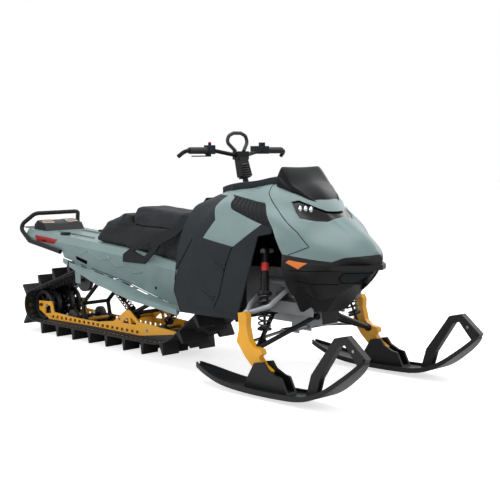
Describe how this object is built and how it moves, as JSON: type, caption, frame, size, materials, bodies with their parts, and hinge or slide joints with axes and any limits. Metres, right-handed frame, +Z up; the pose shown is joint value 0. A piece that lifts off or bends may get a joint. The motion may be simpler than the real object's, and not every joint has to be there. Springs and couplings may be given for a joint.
{
  "type": "mountain snowmobile",
  "caption": "Mountain snowmobile with a long deep-lug track under a tunnel, a two-part seat, a faceted cowl, steerable skis on double arms and a high handlebar with a strap loop.",
  "frame": {"origin": "on the snow, under the middle of the machine", "axes": "+X forward, +Y to the rider's left, +Z up"},
  "size_m": [3.2525, 1.07, 1.302],
  "materials": {
    "body_paint": "semi-gloss grey-green moulded panels",
    "tunnel_paint": "satin grey-green painted aluminium sheet",
    "black_plastic": "matt black moulding",
    "black_gloss": "smoked gloss black",
    "black_metal": "satin black powder coat on steel",
    "yellow_metal": "yellow powder coat on aluminium",
    "bare_aluminium": "bare cast and forged aluminium",
    "steel": "plain steel",
    "track_rubber": "moulded black rubber",
    "wheel_rubber": "black wheels with rubber tyres",
    "seat_cover": "black grained seat cover",
    "slider_plastic": "black slippery plastic",
    "amber_lens": "amber reflector",
    "clear_lens": "clear lamp lens over red and amber",
    "lamp_black": "gloss black lamp housing",
    "cast_engine": "cast aluminium engine block",
    "spring_steel": "black coil spring"
  },
  "bodies": {
    "chassis": {"track": "track_rubber", "rear_axle": "wheel_rubber", "carrier_wheels": "wheel_rubber", "drive_axle": "black_plastic", "rails": "yellow_metal", "rail_sliders": "slider_plastic", "rail_wheels": "wheel_rubber", "skid_rear_arm": "black_metal", "skid_front_arm": "black_metal", "skid_shocks": "black_metal", "tunnel": "tunnel_paint", "running_boards": "tunnel_paint", "rear_bumper": "black_metal", "tail_housing": "black_plastic", "tail_lenses": "clear_lens", "snow_flap": "black_plastic", "cargo_anchors": "black_plastic", "seat_base": "seat_cover", "seat": "seat_cover", "tank_cover": "black_plastic", "console": "black_plastic", "hood": "body_paint", "front_fascia": "black_plastic", "side_vents": "black_plastic", "side_inserts": "body_paint", "knee_panels": "black_plastic", "side_panels": "black_plastic", "headlamps": "lamp_black", "windshield": "black_gloss", "front_bumper": "black_plastic", "reflectors": "amber_lens", "bulkhead": "bare_aluminium", "lower_arms": "black_metal", "upper_arms": "bare_aluminium", "front_shocks": "black_metal", "front_springs": "spring_steel", "engine": "cast_engine", "belly_pan": "black_plastic", "frame_tubes": "black_metal", "seat_braces": "black_metal", "arch_liners": "black_plastic"},
    "steering": {"steering_post": "black_metal", "handlebar": "black_metal", "grips": "wheel_rubber", "control_blocks": "black_plastic", "mountain_strap": "wheel_rubber"},
    "rack": {"tie_rods": "steel"},
    "right_spindle": {"spindle_right": "yellow_metal"},
    "left_spindle": {"spindle_left": "yellow_metal"},
    "right_ski": {"ski_right": "black_plastic", "ski_loop_right": "black_plastic", "runner_right": "steel"},
    "left_ski": {"ski_left": "black_plastic", "ski_loop_left": "black_plastic", "runner_left": "steel"}
  },
  "joints": [
    {"name": "steering", "type": "hinge", "parent": "chassis", "child": "steering", "pos_m": [0.355, 0, 1.16], "axis": [-0.2779, 0, 0.9606], "range_deg": [-35, 35]},
    {"name": "rack_slide", "type": "slide", "parent": "chassis", "child": "rack", "axis": [0, -1, 0], "range_m": [-0.04, 0.04]},
    {"name": "right_steer", "type": "hinge", "parent": "chassis", "child": "right_spindle", "pos_m": [0.908, -0.43, 0.221], "axis": [-0.4339, 0.0325, 0.9004], "range_deg": [-28, 28]},
    {"name": "right_ski_pitch", "type": "hinge", "parent": "right_spindle", "child": "right_ski", "pos_m": [0.973, -0.449, 0.15], "axis": [0, 1, 0], "range_deg": [-15, 15]},
    {"name": "left_steer", "type": "hinge", "parent": "chassis", "child": "left_spindle", "pos_m": [0.908, 0.43, 0.221], "axis": [-0.4339, -0.0325, 0.9004], "range_deg": [-28, 28]},
    {"name": "left_ski_pitch", "type": "hinge", "parent": "left_spindle", "child": "left_ski", "pos_m": [0.973, 0.449, 0.15], "axis": [0, 1, 0], "range_deg": [-15, 15]}
  ],
  "couplings": [
    {"joint": "right_steer", "follows": "steering", "ratio": 0.8},
    {"joint": "left_steer", "follows": "steering", "ratio": 0.8},
    {"joint": "rack_slide", "follows": "steering", "m_per_rad": 0.0654}
  ]
}
